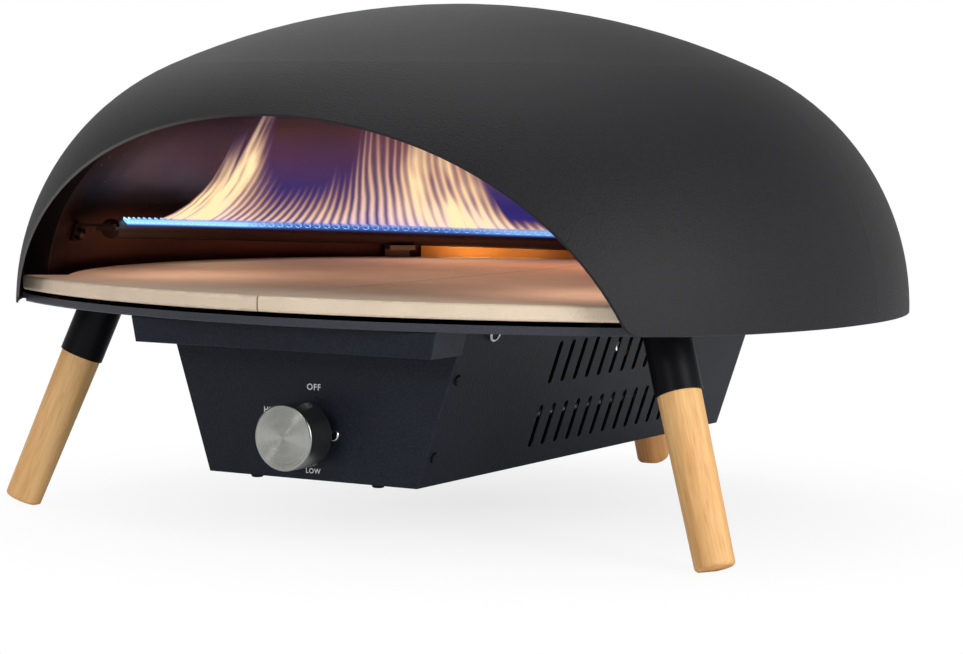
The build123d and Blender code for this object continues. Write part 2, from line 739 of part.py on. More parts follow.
def on_side(y, drop, side):
    """Plane on the outer face of a side panel, facing out."""
    slope = box_slope()
    normal = (side * math.cos(slope), 0, -math.sin(slope))
    return Plane(origin=(side * box_half_at(-drop), y, -drop), z_dir=normal)


def box_side_screws():
    heads = []
    for side in (-1, 1):
        for drop in (SIDE_SCREW_DROP, BOX_DEPTH - SIDE_SCREW_RISE):
            head = Cylinder(SIDE_SCREW_HEAD, SIDE_SCREW_THICK, align=BAND)
            head = fillet(head.edges().sort_by(Axis.Z)[-1], SIDE_SCREW_THICK * 0.7)
            heads.append(on_side(BOX_FRONT_Y + SIDE_SCREW_INSET, drop, side) * head)
    return Part() + heads


def box_bottom_screws():
    heads = []
    for side in (-1, 1):
        start = (side * BOTTOM_SCREW_X, BOX_FRONT_Y + BOTTOM_SCREW_INSET, -BOX_DEPTH)
        head = rod(start, (0, 0, -1), BOTTOM_SCREW_HEAD, BOTTOM_SCREW_THICK)
        heads.append(fillet(head.edges().sort_by(Axis.Z)[0], BOTTOM_SCREW_THICK * 0.6))
    return Part() + heads


def side_hook():
    """Bright wire half ring with a ball at one end, near the top of the right side."""
    normal = on_side(0, 0, 1).z_dir
    start = on_side(BOX_FRONT_Y + HOOK_INSET, HOOK_DROP, 1).origin
    plane = Plane(origin=start, x_dir=(0, 1, 0), z_dir=normal)
    circle = Plane.XZ * Pos(HOOK_RADIUS, 0) * Circle(HOOK_WIRE)
    wire = Pos(0, 0, HOOK_REACH) * Rot(0, 0, 180) * revolve(circle, Axis.Z, 180)
    for side in (-1, 1):
        wire += Pos(side * HOOK_RADIUS, 0, 0) * Cylinder(HOOK_WIRE, HOOK_REACH, align=BAND)
        wire += Pos(side * HOOK_RADIUS, 0, HOOK_REACH) * Sphere(HOOK_WIRE)
    wire += Pos(HOOK_RADIUS, 0, HOOK_REACH) * Sphere(HOOK_BALL)
    return plane * wire


def hood_outline(inset):
    low = TRAY_UNDER - HOOD_HEIGHT
    high = TRAY_UNDER
    slope = (HOOD_TOP_HALF - HOOD_BOTTOM_HALF) / HOOD_HEIGHT
    wide = HOOD_TOP_HALF - inset * (1 + slope)
    narrow = HOOD_BOTTOM_HALF - inset * (1 - slope)
    return [(-narrow, low + inset), (narrow, low + inset), (wide, high - inset), (-wide, high - inset)]


def hood():
    """Folded cover between the tray's front and the control panel."""
    body = prism_y(hood_outline(0), HOOD_FRONT_Y, BOX_FRONT_Y)
    body = fillet(body.faces().sort_by(Axis.Y)[0].edges(), HOOD_EDGE)
    body -= prism_y(hood_outline(HOOD_WALL), HOOD_FRONT_Y + HOOD_WALL, REACH)
    half = HOOD_BOTTOM_HALF - HOOD_LIP
    low = TRAY_UNDER - HOOD_HEIGHT
    return body - block(-half, half, HOOD_FRONT_Y + HOOD_LIP, REACH, low - 1, low + 2 * HOOD_WALL)


def gas_valve():
    half = VALVE_WIDTH / 2
    tall = VALVE_HEIGHT / 2
    body = block(-half, half, VALVE_FACE, VALVE_END, VALVE_Z - tall, VALVE_Z + tall)
    body = fillet(body.edges().filter_by(Axis.Y), half / 4)
    ear_x = VALVE_EAR_WIDTH / 2
    ear_z = VALVE_EAR_HEIGHT / 2
    body += block(-ear_x, ear_x, PANEL_BACK, VALVE_FACE, VALVE_Z - ear_z, VALVE_Z + ear_z)
    depth = PLUNGER_END + STEM_BEYOND_PLUNGER + PUSH_TRAVEL + VALVE_BORE_END - PANEL_BACK
    body -= rod((0, PANEL_BACK, VALVE_Z), (0, 1, 0), VALVE_BORE, depth)
    for side in (-1, 1):
        start = (side * VALVE_SCREW_X, PANEL_BACK, VALVE_Z)
        body -= rod(start, (0, 1, 0), VALVE_SCREW_SHANK, VALVE_EAR_THICK)
    return body


def valve_plunger():
    """Sleeve that the knob pushes into the valve."""
    start = (0, PLUNGER_START, VALVE_Z)
    sleeve = rod(start, (0, 1, 0), VALVE_BORE - PLUNGER_CLEARANCE, PLUNGER_LENGTH)
    return sleeve - rod(start, (0, 1, 0), STEM_RADIUS + STEM_CLEARANCE, PLUNGER_LENGTH)


def valve_stem():
    start = KNOB_BACK - STEM_IN_KNOB
    end = PLUNGER_END + STEM_BEYOND_PLUNGER
    stem = rod((0, start, VALVE_Z), (0, 1, 0), STEM_RADIUS, end - start)
    return chamfer(stem.edges().sort_by(Axis.Y)[-1], STEM_RADIUS / 4)


def valve_screws():
    screws = []
    for side in (-1, 1):
        x = side * VALVE_SCREW_X
        head = rod((x, BOX_FRONT_Y, VALVE_Z), (0, -1, 0), VALVE_SCREW_HEAD, VALVE_SCREW_THICK)
        head = fillet(head.edges().sort_by(Axis.Y)[0], VALVE_SCREW_THICK * 0.6)
        length = BOX_WALL + VALVE_EAR_THICK
        shank = rod((x, BOX_FRONT_Y, VALVE_Z), (0, 1, 0), VALVE_SCREW_SHANK, length)
        screws.append(head + shank)
    return Part() + screws


def stem_collar():
    ring = rod((0, BOX_FRONT_Y, VALVE_Z), (0, -1, 0), COLLAR_RADIUS, COLLAR_THICK)
    ring = fillet(ring.edges().sort_by(Axis.Y)[0], COLLAR_EDGE)
    return ring - rod((0, BOX_FRONT_Y, VALVE_Z), (0, -1, 0), STEM_RADIUS + STEM_HOLE_GAP, COLLAR_THICK)


def knob():
    body = rod((0, KNOB_BACK, VALVE_Z), (0, -1, 0), KNOB_RADIUS, KNOB_LENGTH)
    ends = body.edges().filter_by(GeomType.CIRCLE).sort_by(Axis.Y)
    body = fillet([ends[0], ends[-1]], KNOB_EDGE)
    body -= rod((0, KNOB_FRONT, VALVE_Z), (0, 1, 0), KNOB_FACE_RADIUS, KNOB_FACE_THICK)
    recess = rod((0, KNOB_BACK, VALVE_Z), (0, -1, 0), KNOB_RECESS_RADIUS, KNOB_RECESS_DEPTH)
    hub = rod((0, KNOB_BACK, VALVE_Z), (0, -1, 0), 2 * STEM_RADIUS, KNOB_RECESS_DEPTH)
    bore = rod((0, KNOB_BACK, VALVE_Z), (0, -1, 0), STEM_RADIUS, STEM_IN_KNOB)
    return body - (recess - hub) - bore


def knob_face():
    start = (0, KNOB_FRONT + KNOB_FACE_THICK, VALVE_Z)
    return rod(start, (0, -1, 0), KNOB_FACE_RADIUS, KNOB_FACE_THICK)


def inlet_path():
    return FilletPolyline(
        (INLET_X, BOX_REAR_Y - FITTING_INSIDE - INLET_GAP, VALVE_Z),
        (INLET_X, VALVE_FACE + VALVE_LENGTH / 2, VALVE_Z),
        (VALVE_WIDTH / 2 + INLET_GAP, VALVE_FACE + VALVE_LENGTH / 2, VALVE_Z),
        radius=INLET_BEND,
    )


def inlet_pipe():
    return pipe(inlet_path(), INLET_RADIUS, INLET_WALL)


def gas_inlet():
    """Threaded fitting through the rear panel, with a hexagon outside."""
    start = (INLET_X, BOX_REAR_Y - FITTING_INSIDE, VALVE_Z)
    body = rod(start, (0, 1, 0), FITTING_THREAD, FITTING_INSIDE + FITTING_REACH)
    plane = Plane(origin=(INLET_X, BOX_REAR_Y, VALVE_Z), z_dir=(0, 1, 0))
    body += extrude(plane * RegularPolygon(FITTING_HEX / 2, 6, major_radius=False), FITTING_HEX_LENGTH)
    body = body - rod(start, (0, 1, 0), FITTING_BORE, FITTING_INSIDE + FITTING_REACH)
    return body


def socket_length():
    return SOCKET_END_DROP / math.cos(math.radians(LEG_SPLAY))


def socket_bore():
    return SOCKET_RADIUS - SOCKET_WALL


def wood_start():
    """Distance down the leg to the top of the wood."""
    return socket_length() - WOOD_IN_SOCKET


def leg_socket(name):
    """Tube with an inner web, on a flat flange under the tray."""
    angle = LEG_ANGLES[name]
    above = SOCKET_RADIUS
    tube = Pos(0, 0, -above) * Cylinder(SOCKET_RADIUS, socket_length() + above, align=BAND)
    bore = Pos(0, 0, -above) * Cylinder(socket_bore(), socket_length() + above, align=BAND)
    web = Pos(0, 0, wood_start() - SOCKET_WEB) * Cylinder(socket_bore(), SOCKET_WEB, align=BAND)
    web -= Pos(0, 0, wood_start() - SOCKET_WEB) * Cylinder(BOLT_RADIUS + BOLT_CLEARANCE, SOCKET_WEB, align=BAND)
    socket = leg_plane(angle) * (tube - bore + web)
    drop = math.tan(math.radians(LEG_SPLAY)) * TRAY_DROP
    centre = polar(LEG_RADIUS_AT_RIM + drop, angle, TRAY_UNDER)
    flange = rod(centre, (0, 0, -1), SOCKET_FLANGE, SOCKET_FLANGE_THICK)
    flange -= leg_plane(angle) * (Pos(0, 0, -above) * Cylinder(socket_bore(), 3 * above, align=BAND))
    return (socket + flange) & block(-REACH, REACH, -REACH, REACH, -REACH, TRAY_UNDER)


def socket_screws():
    """Screw heads under the flanges, three to a leg."""
    heads = []
    drop = math.tan(math.radians(LEG_SPLAY)) * TRAY_DROP
    for angle in LEG_ANGLES.values():
        x, y, _ = polar(LEG_RADIUS_AT_RIM + drop, angle)
        for turn in (90.0, 180.0, 270.0):
            dx, dy, _ = polar(FLANGE_SCREW_RADIUS, angle + turn)
            start = (x + dx, y + dy, TRAY_UNDER - SOCKET_FLANGE_THICK)
            head = rod(start, (0, 0, -1), FLANGE_SCREW_HEAD, FLANGE_SCREW_THICK)
            heads.append(fillet(head.edges().sort_by(Axis.Z)[0], FLANGE_SCREW_THICK / 2))
    return Part() + heads


def leg_length():
    """From the rim height to the square end, so that its corner reaches just under the table."""
    splay = math.radians(LEG_SPLAY)
    corner = (WOOD_END_RADIUS - WOOD_EDGE) * math.sin(splay) + WOOD_EDGE * (1 - math.cos(splay))
    return (RIM_HEIGHT - corner + WOOD_TRIM) / math.cos(splay)


def leg(name):
    """Turned wooden leg, parallel in its socket and tapered below it."""
    top = wood_start()
    joint = socket_length()
    end = leg_length()
    radius = socket_bore() - WOOD_CLEARANCE
    outline = Polyline(
        (0, 0, top),
        (radius, 0, top),
        (radius, 0, joint),
        (WOOD_END_RADIUS, 0, end),
        (0, 0, end),
        close=True,
    )
    wood = revolve(make_face(outline), Axis.Z, 360)
    wood = fillet(wood.edges().filter_by(GeomType.CIRCLE).sort_by(Axis.Z)[-1], WOOD_EDGE)
    wood -= Pos(0, 0, top) * Cylinder(BOLT_RADIUS, BOLT_IN_WOOD, align=BAND)
    wood = leg_plane(LEG_ANGLES[name]) * wood
    return wood & block(-REACH, REACH, -REACH, REACH, -RIM_HEIGHT, REACH)


def leg_bolts():
    """Bolts through the socket webs into the wood, with nuts above."""
    bolts = []
    web = wood_start() - SOCKET_WEB
    for angle in LEG_ANGLES.values():
        shank = Pos(0, 0, web) * Cylinder(BOLT_RADIUS, SOCKET_WEB + BOLT_IN_WOOD, align=BAND)
        nut = extrude(Pos(0, 0, web) * RegularPolygon(BOLT_NUT, 6), -BOLT_NUT_THICK)
        bolts.append(leg_plane(angle) * (shank + nut))
    return Part() + bolts


def all_nodes():
    return {
        "shell": shell(),
        "liner": liner(),
        "liner_flange": liner_flange(),
        "liner_screws": liner_screws(),
        "base_tray": base_tray(),
        "shell_tabs": shell_tabs(),
        "stone_left": stone_half(-1),
        "stone_right": stone_half(1),
        "stone_rails": stone_rails(),
        "burner_ring": burner_ring(),
        "burner_feed": burner_feed(),
        "burner_brackets": burner_brackets(),
        "mixer_bell": mixer_bell(),
        "gas_jet": gas_jet(),
        "rear_shield": rear_shield(),
        "igniter_ceramic": igniter_ceramic(),
        "igniter_pin": igniter_pin(),
        "thermocouple": thermocouple(),
        "box_front": box_front(),
        "box_side_left": box_side_left(),
        "box_side_right": box_side_right(),
        "box_bottom": box_bottom(),
        "box_rear": box_rear(),
        "box_side_screws": box_side_screws(),
        "box_bottom_screws": box_bottom_screws(),
        "side_hook": side_hook(),
        "hood": hood(),
        "gas_valve": gas_valve(),
        "valve_plunger": valve_plunger(),
        "valve_stem": valve_stem(),
        "valve_screws": valve_screws(),
        "stem_collar": stem_collar(),
        "knob": knob(),
        "knob_face": knob_face(),
        "inlet_pipe": inlet_pipe(),
        "gas_inlet": gas_inlet(),
        "leg_socket_left": leg_socket("left"),
        "leg_socket_right": leg_socket("right"),
        "leg_socket_rear": leg_socket("rear"),
        "socket_screws": socket_screws(),
        "leg_left": leg("left"),
        "leg_right": leg("right"),
        "leg_rear": leg("rear"),
        "leg_bolts": leg_bolts(),
    }


def skin_radius_at(z):
    """Radius of the dome's skin at any height, on the shoulder or the crown."""
    run = SHELL_RADIUS - SHOULDER_RADIUS
    turn = math.atan2(CROWN_RADIUS - SHELL_RISE, run)
    if z < SHOULDER_RADIUS * math.sin(turn):
        return dome_radius_at(z, 0)
    return math.sqrt(CROWN_RADIUS ** 2 - (z - SHELL_RISE + CROWN_RADIUS) ** 2)


def mouth_apex_y():
    """Y of the skin's foremost point, found by halving between the rim and the crown."""
    low, high = 0.0, SHELL_RISE - 1.0
    for _ in range(40):
        z = (low + high) / 2
        if skin_radius_at(z) > LEAN * z - MOUTH_Y:
            low = z
        else:
            high = z
    return MOUTH_Y - LEAN * low


def frame_shift(nodes):
    """Move that centres the whole oven over the origin and stands it on the table."""
    rear = nodes["leg_rear"].bounding_box().max.Y
    return Pos(0, -(mouth_apex_y() + rear) / 2, RIM_HEIGHT)


def main():
    os.makedirs("parts", exist_ok=True)
    nodes = all_nodes()
    move = frame_shift(nodes)
    print("frame shift in Y:", round(move.position.Y, 3))
    for name, shape in nodes.items():
        placed = move * shape
        box = placed.bounding_box()
        low = [round(v, 2) for v in (box.min.X, box.min.Y, box.min.Z)]
        high = [round(v, 2) for v in (box.max.X, box.max.Y, box.max.Z)]
        print(name, len(placed.solids()), "solids", low, high, "volume", round(placed.volume, 1))
        export_step(placed, "parts/" + name + ".step")


main()
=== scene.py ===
# %% [markdown]
# # A table-top gas pizza oven in Blender
# The oven is a low black dome on three splayed wooden legs. A burner shaped like a
# horseshoe runs round the inside of the dome, above a baking stone in two halves.
# The solid parts come from a CAD model, so this lesson starts by loading them and
# by reading a few places from them. Every new piece is then put where those say.

# %% Load the solid parts
import math

import bpy
from mathutils import Matrix, Vector


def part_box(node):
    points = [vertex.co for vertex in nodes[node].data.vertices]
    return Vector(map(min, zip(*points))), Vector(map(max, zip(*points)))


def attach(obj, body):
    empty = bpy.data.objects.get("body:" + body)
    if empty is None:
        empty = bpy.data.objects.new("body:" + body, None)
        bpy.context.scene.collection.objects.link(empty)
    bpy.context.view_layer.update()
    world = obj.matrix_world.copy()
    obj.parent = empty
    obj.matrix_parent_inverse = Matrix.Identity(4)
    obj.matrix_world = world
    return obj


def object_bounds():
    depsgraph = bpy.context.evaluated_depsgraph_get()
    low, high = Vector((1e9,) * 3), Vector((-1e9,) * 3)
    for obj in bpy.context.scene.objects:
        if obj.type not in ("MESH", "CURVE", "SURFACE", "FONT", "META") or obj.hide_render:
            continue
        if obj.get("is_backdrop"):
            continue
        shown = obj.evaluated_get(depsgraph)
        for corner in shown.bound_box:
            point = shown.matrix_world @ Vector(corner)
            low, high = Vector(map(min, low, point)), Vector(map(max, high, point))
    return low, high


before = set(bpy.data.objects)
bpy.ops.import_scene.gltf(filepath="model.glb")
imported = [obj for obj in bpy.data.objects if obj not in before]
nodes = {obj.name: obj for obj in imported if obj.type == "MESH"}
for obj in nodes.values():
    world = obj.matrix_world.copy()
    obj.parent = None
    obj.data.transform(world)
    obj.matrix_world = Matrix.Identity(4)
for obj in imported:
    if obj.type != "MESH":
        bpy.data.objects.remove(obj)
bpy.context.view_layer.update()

dome_radius = 0.340
axis_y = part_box("shell")[1].y - dome_radius
rim_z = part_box("shell")[0].z
print("parts:", len(nodes), "dome axis y:", round(axis_y, 4), "rim height:", round(rim_z, 4))

# %% [markdown]
# ## The camera
# A photograph of a product is often taken with a long lens from a few metres away.
# The camera's place was found by matching the dome's outline, the mouth, the legs and
# the control box. A camera looks along its own -Z, so its matrix is built from the
# view direction, the direction to the right and the direction up.

# %% Camera
yaw, pitch, roll = 0.51596, 0.07818, -0.01071
camera_place = (1.03892, -1.80273 + axis_y, 0.14377 + rim_z)
forward = Vector((-math.sin(yaw) * math.cos(pitch), math.cos(yaw) * math.cos(pitch), -math.sin(pitch)))
level = Vector((math.cos(yaw), math.sin(yaw), 0))
down = forward.cross(level)
right = level * math.cos(roll) + down * math.sin(roll)
up = level * math.sin(roll) - down * math.cos(roll)
lens_data = bpy.data.cameras.new("long_lens")
lens_data.sensor_width = 36.0
lens_data.lens = 101.08
camera = bpy.data.objects.new("camera", lens_data)
bpy.context.scene.collection.objects.link(camera)
facing = Matrix((right, up, -forward)).transposed().to_4x4()
camera.matrix_world = Matrix.Translation(camera_place) @ facing
bpy.context.scene.camera = camera
bpy.context.scene.view_settings.view_transform = "Standard"
print("camera at", [round(v, 3) for v in camera.location])

# %% [markdown]
# ## Shader sums written as Python
# A finish is a small graph of nodes. Graphs are easier to read as sums, so a little
# class wraps a socket and gives it plus, minus, times and so on. Each operator adds
# one Math node.

# %% A socket that can be used in sums
class Wire:
    def __init__(self, graph, socket):
        self.graph = graph
        self.socket = socket

    def __add__(self, other):
        return self.graph.math("ADD", self, other)

    def __sub__(self, other):
        return self.graph.math("SUBTRACT", self, other)

    def __rsub__(self, other):
        return self.graph.math("SUBTRACT", other, self)

    def __mul__(self, other):
        return self.graph.math("MULTIPLY", self, other)

    def __truediv__(self, other):
        return self.graph.math("DIVIDE", self, other)

    def __rtruediv__(self, other):
        return self.graph.math("DIVIDE", other, self)

    def __pow__(self, other):
        return self.graph.math("POWER", self, other)

    def __neg__(self):
        return self * -1.0

    __radd__ = __add__
    __rmul__ = __mul__


# %% [markdown]
# Every other node comes from one method, which sets the node's settings first and then
# its sockets. The rest are short names for the nodes that this oven uses again and
# again. A material and the world are both such a graph.

# %% A graph, with one method for every node
class Graph:
    def __init__(self, tree):
        self.tree = tree

    def node(self, kind, settings=None, sockets=None, output=0):
        made = self.tree.nodes.new(kind)
        for words, value in (settings or {}).items():
            if words == "stops":
                self.set_stops(made.color_ramp, value)
            else:
                setattr(made, words, value)
        for words, value in (sockets or {}).items():
            if isinstance(value, Wire):
                self.tree.links.new(value.socket, made.inputs[words])
            else:
                made.inputs[words].default_value = value
        return Wire(self, made.outputs[output])

    def set_stops(self, ramp, stops):
        while len(ramp.elements) < len(stops):
            ramp.elements.new(0.5)
        for element, (place, colour) in zip(ramp.elements, stops):
            element.position = place
            element.color = (*colour, 1.0)

    def show(self, surface, end):
        """Send a shader to the graph's last node."""
        self.tree.links.new(surface.socket, self.tree.nodes[end].inputs["Surface"])

    def math(self, operation, *terms):
        return self.node("ShaderNodeMath", {"operation": operation}, dict(enumerate(terms)))

    def vector(self, operation, *terms):
        return self.node("ShaderNodeVectorMath", {"operation": operation}, dict(enumerate(terms)))

    def joined(self, x=0.0, y=0.0, z=0.0):
        return self.node("ShaderNodeCombineXYZ", None, {0: x, 1: y, 2: z})

    def parts_of(self, vector):
        return [self.node("ShaderNodeSeparateXYZ", None, {0: vector}, axis) for axis in "XYZ"]

    def length(self, x, y):
        return (x ** 2.0 + y ** 2.0) ** 0.5

    def clamp(self, wire, low=0.0, high=1.0):
        return self.node("ShaderNodeClamp", None, {"Value": wire, "Min": low, "Max": high})


# %% A finish
class Finish(Graph):
    def __init__(self, name, **sockets):
        self.material = bpy.data.materials.new(name)
        self.material.use_nodes = True
        super().__init__(self.material.node_tree)
        self.shader = self.tree.nodes["Principled BSDF"]
        for words, value in sockets.items():
            self.shader.inputs[words.replace("_", " ")].default_value = value

    def feed(self, **sockets):
        for words, wire in sockets.items():
            self.tree.links.new(wire.socket, self.shader.inputs[words.replace("_", " ")])

    def place(self):
        return self.node("ShaderNodeTexCoord", output="Object")

    def noise(self, scale, detail=2.0, vector=None):
        sockets = {"Scale": scale, "Detail": detail, "Vector": vector or self.place()}
        return self.node("ShaderNodeTexNoise", None, sockets)

    def dots(self, scale, reach, sharpness, vector=None):
        """A small soft dot in the middle of some cells."""
        sockets = {"Scale": scale, "Vector": vector or self.place()}
        return self.clamp((reach - self.node("ShaderNodeTexVoronoi", None, sockets)) * sharpness)

    def ramp(self, place, stops):
        return self.node("ShaderNodeValToRGB", {"stops": stops}, {0: place})

    def level(self, place, stops):
        return self.ramp(place, [(at, (value, value, value)) for at, value in stops])

    def mix(self, factor, first, second):
        sockets = {0: factor}
        for slot, colour in ((6, first), (7, second)):
            sockets[slot] = colour if isinstance(colour, Wire) else (*colour, 1)
        return self.node("ShaderNodeMix", {"data_type": "RGBA"}, sockets, 2)

    def bump(self, height, distance, strength=1.0):
        sockets = {"Height": height, "Distance": distance, "Strength": strength}
        return self.node("ShaderNodeBump", None, sockets)


def dress(finish, *names):
    """Give CAD parts a finish."""
    for name in names:
        slots = nodes[name].data.materials
        slots.clear()
        slots.append(finish.material)
    print(finish.material.name, "on", ", ".join(names))


# %% [markdown]
# ## Powder-coated sheet
# The dome is steel with a matt black powder coat. Close up the coat is a fine grain of
# soft bumps, and its gloss changes a little from place to place. Two scales of noise
# do both. The control box has the same kind of coat in a bluer, smoother black, and its
# sides a darker copy of it, which is painted shade.

# %% Powder coats
def powder_coat(name, dark, light, roughness, grain, relief, sheen):
    coat = Finish(name, Specular_IOR_Level=sheen)
    fine = coat.noise(grain, 3.0)
    cloudy = coat.noise(9.0, 3.0)
    coat.paint = coat.mix(coat.clamp(fine * 1.2 + cloudy * 0.5 - 0.35), dark, light)
    coat.feed(Base_Color=coat.paint)
    coat.feed(Roughness=roughness - 0.08 + fine * 0.12 + cloudy * 0.05)
    coat.feed(Normal=coat.bump(fine, relief))
    return coat


dome_coat = powder_coat(
    "dome_matt_black", dark=(0.006, 0.0058, 0.0068), light=(0.019, 0.018, 0.0205),
    roughness=0.56, grain=700.0, relief=0.00032, sheen=0.24)
box_coat = powder_coat(
    "box_satin_black", dark=(0.0028, 0.0042, 0.009), light=(0.0175, 0.0205, 0.033),
    roughness=0.44, grain=560.0, relief=0.00022, sheen=0.20)
tray_coat = powder_coat(
    "tray_satin_black", dark=(0.022, 0.023, 0.031), light=(0.056, 0.058, 0.074),
    roughness=0.42, grain=900.0, relief=0.00014, sheen=0.3)
# The box's sides get a darker copy of the box's coat: painted shade, for the less light on them.
box_side_shaded_coat = powder_coat(
    "box_side_painted_shade", dark=(0.0020, 0.0029, 0.0060), light=(0.0100, 0.0120, 0.0200),
    roughness=0.46, grain=560.0, relief=0.00022, sheen=0.14)
leg_coat = powder_coat(
    "socket_satin_black", dark=(0.0025, 0.0025, 0.0035), light=(0.006, 0.006, 0.008),
    roughness=0.42, grain=1300.0, relief=0.00008, sheen=0.14)
dress(dome_coat, "shell")
dress(box_coat, "box_front", "box_bottom", "box_rear", "hood")
dress(box_side_shaded_coat, "box_side_left", "box_side_right")
dress(tray_coat, "base_tray", "shell_tabs")
dress(leg_coat, "leg_socket_left", "leg_socket_right", "leg_socket_rear", "socket_screws")
dress(leg_coat, "box_side_screws", "box_bottom_screws", "stem_collar")

# %% [markdown]
# ### Painted highlight on the edge of the mouth
# The mouth is cut by one leaning plane. On the left a paler grey is painted on the cut edge
# of the coat, as a highlight where the edge catches the light. The distance of a point
# behind that plane finds the edge, and a fade with X keeps the painted highlight on the left.

# %% Painted highlight on the mouth's edge
mouth_lean = math.radians(20.6)
mouth_y = axis_y - 0.2247
edge_highlight_width, edge_highlight_ragged = 0.0003, 0.0005
edge_highlight_grey = (0.12, 0.105, 0.108)
x, y, z = dome_coat.parts_of(dome_coat.place())
behind = (y - mouth_y + (z - rim_z) * math.tan(mouth_lean)) * math.cos(mouth_lean)
ragged_highlight = dome_coat.noise(120.0, 3.0) * edge_highlight_ragged
# A paler grey is painted along the left edge of the mouth as a highlight.
edge_highlight = dome_coat.clamp((edge_highlight_width + ragged_highlight - behind) * 3500.0) * dome_coat.clamp(x * -7.0)
dome_coat.feed(Base_Color=dome_coat.mix(edge_highlight * 0.8, dome_coat.paint, edge_highlight_grey))
print("mouth's plane meets the rim at y", round(mouth_y, 4))

# %% [markdown]
# ## Steel that the fire has tinted
# The inner dome is thin stainless sheet that the burner has tinted brown and violet.
# It is a metal, so its colour is the colour of its reflections. Slow noise moves it
# between the tints, and finer noise breaks up the gloss.

# %% Inner dome, burner and rails
def rolled_steel(name, roughness, metallic=1.0):
    steel = Finish(name, Metallic=metallic)
    steel.slow = steel.noise(7.0, 3.0)
    steel.feed(Roughness=roughness + steel.noise(70.0, 3.0) * 0.05)
    steel.feed(Normal=steel.bump(steel.slow, 0.0025, 0.5))
    return steel


def heat_steel(name, cool, warm, violet, roughness, metallic=1.0):
    steel = rolled_steel(name, roughness, metallic)
    tint = steel.mix(steel.clamp(steel.slow * 2.2 - 0.6), cool, warm)
    patch = steel.clamp(steel.noise(3.1, 2.0) * 3.0 - 1.2)
    steel.feed(Base_Color=steel.mix(patch, tint, violet))
    return steel


inner_steel = heat_steel(
    "inner_dome_steel", (0.16, 0.085, 0.078), (0.28, 0.12, 0.075), (0.14, 0.09, 0.17), 0.24)
flange_steel = heat_steel(
    "mouth_band_steel", (0.10, 0.07, 0.06), (0.16, 0.09, 0.07), (0.08, 0.06, 0.08), 0.35)
burner_steel = heat_steel(
    "burner_steel", (0.06, 0.04, 0.035), (0.11, 0.06, 0.04), (0.05, 0.035, 0.055), 0.42)
rail_steel = heat_steel(
    "rail_steel", (0.20, 0.19, 0.18), (0.26, 0.23, 0.21), (0.18, 0.17, 0.18), 0.45)
dress(inner_steel, "liner")
dress(flange_steel, "liner_flange", "liner_screws")
dress(burner_steel, "burner_ring", "burner_feed", "mixer_bell")
dress(rail_steel, "stone_rails")

# %% [markdown]
# The plate behind the stone is the hottest sheet. An oxide film makes it bronze and dulls
# it, so it is given little metal and much colour; the orange of the firelight on it is
# painted into that colour too. The burner's brackets are dark near the mouth and paler at
# the back, where the flames have scaled them.

# %% Plate and brackets
# The plate's orange is partly its bronze heat tint and partly painted firelight.
plate_steel_painted_glow = heat_steel(
    "bronzed_plate_painted_glow", (0.80, 0.37, 0.09), (0.90, 0.46, 0.14), (0.62, 0.27, 0.07), 0.45, metallic=0.15)
bracket_steel = rolled_steel("bracket_steel", 0.50)
_, y, _ = bracket_steel.parts_of(bracket_steel.place())
scaled = bracket_steel.clamp(y * 12.0) * (0.7 + bracket_steel.noise(60.0, 3.0) * 0.6)
bracket_steel.feed(Base_Color=bracket_steel.mix(scaled, (0.055, 0.035, 0.03), (0.38, 0.27, 0.20)))
dress(plate_steel_painted_glow, "rear_shield")
dress(bracket_steel, "burner_brackets")

# %% [markdown]
# ## The baking stone
# Cordierite is cream with a faint mottle, tiny pores and a dry, matt face. The pores
# come from a Voronoi texture, cut so that only a few cells leave a dot. Shade is painted
# along the seam between the halves, so the stone darkens close to it.

# %% Baking stone
seam_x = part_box("stone_left")[1].x
stone = Finish("baking_stone", Specular_IOR_Level=0.25)
mottle = stone.noise(24.0, 5.0)
grit = stone.noise(900.0, 2.0)
pore = stone.dots(420.0, 0.16, 9.0)
paste = stone.mix(stone.clamp(mottle * 1.6 - 0.3), (0.68, 0.54, 0.40), (0.78, 0.64, 0.49))
pitted = stone.mix(pore * 0.35, paste, (0.36, 0.25, 0.16))
x, _, _ = stone.parts_of(stone.place())
from_seam = stone.math("ABSOLUTE", x - seam_x)
# Shade is painted along the seam between the two halves.
seam_shade = stone.clamp(1.5 - from_seam * 1400.0) * 0.6
stone.feed(Base_Color=stone.mix(seam_shade, pitted, (0.16, 0.10, 0.07)))
stone.feed(Roughness=0.78 + grit * 0.14)
stone.feed(Normal=stone.bump(grit - pore * 2.0, 0.00018))
dress(stone, "stone_left", "stone_right")

# %% [markdown]
# ## Wooden legs
# Beech has straight grain along the leg, soft growth rings and short dark flecks. The
# texture has to follow the leg, so a Mapping node turns the coordinates until their Z
# runs along it. Each leg has its own turn, and so its own finish. The rear leg has a
# darker, browner copy of the beech, which is painted shade from the oven above it.

# %% Beech
leg_splay = math.radians(22.0)
grain_stretch = 0.06


